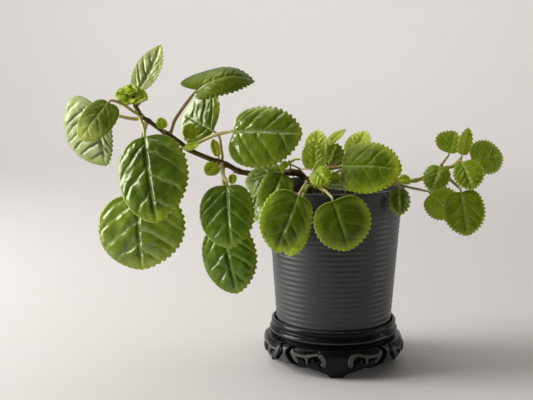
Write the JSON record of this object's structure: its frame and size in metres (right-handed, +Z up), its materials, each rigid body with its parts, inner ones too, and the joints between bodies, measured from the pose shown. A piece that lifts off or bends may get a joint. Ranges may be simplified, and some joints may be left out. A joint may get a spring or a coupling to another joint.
{
  "type": "potted swedish ivy",
  "caption": "Trailing swedish ivy with scalloped leaves in a ribbed dark pot on a round carved wooden stand.",
  "frame": {"origin": "middle of the whole footprint, on the surface the stand rests on; the pot's axis is 36 mm along +X", "axes": "+Z up; +X along the spread of the plant from the long trailing stem to the short one; -Y is the front, where most leaves face"},
  "size_m": [0.3274, 0.1296, 0.238],
  "materials": {
    "black_wood": "satin black stain",
    "pot_grey": "satin",
    "soil": "matte, crumbly",
    "stem": "satin",
    "leaf_deep": "waxy gloss",
    "leaf": "waxy gloss",
    "leaf_young": "soft, finely hairy"
  },
  "bodies": {
    "root": {"bud_leaf_01": "leaf_young", "bud_leaf_02": "leaf_young", "bud_leaf_03": "leaf_young", "bud_leaf_04": "leaf_young", "bud_leaf_05": "leaf_young", "bud_leaf_06": "leaf_young", "leaf_back_01": "leaf_deep", "leaf_back_02": "leaf_deep", "leaf_back_03": "leaf_deep", "leaf_back_04": "leaf_deep", "leaf_back_05": "leaf_deep", "leaf_crown_01": "leaf", "leaf_crown_02": "leaf", "leaf_crown_03": "leaf", "leaf_crown_04": "leaf", "leaf_crown_05": "leaf", "leaf_crown_06": "leaf", "leaf_crown_07": "leaf", "leaf_crown_08": "leaf", "leaf_crown_09": "leaf", "leaf_crown_10": "leaf", "leaf_crown_11": "leaf", "leaf_crown_12": "leaf", "leaf_crown_13": "leaf", "leaf_crown_14": "leaf", "leaf_crown_15": "leaf", "leaf_crown_16": "leaf", "leaf_crown_17": "leaf", "leaf_left_01": "leaf_deep", "leaf_left_02": "leaf_deep", "leaf_left_03": "leaf_deep", "leaf_left_04": "leaf_deep", "leaf_left_05": "leaf_deep", "leaf_left_06": "leaf_deep", "leaf_left_07": "leaf_deep", "leaf_left_08": "leaf_deep", "leaf_left_09": "leaf_deep", "leaf_left_10": "leaf_deep", "leaf_right_01": "leaf", "leaf_right_02": "leaf", "leaf_right_03": "leaf", "leaf_right_04": "leaf", "leaf_right_05": "leaf", "leaf_right_06": "leaf", "leaf_right_07": "leaf", "leaf_right_08": "leaf", "leaf_right_09": "leaf", "pot": "pot_grey", "rosette_left": "leaf_young", "soil": "soil", "stand_board": "black_wood", "stand_leg_back": "black_wood", "stand_leg_front": "black_wood", "stand_leg_left": "black_wood", "stand_leg_right": "black_wood", "stem_back": "stem", "stem_front": "stem", "stem_left": "stem", "stem_right": "stem"}
  },
  "joints": []
}
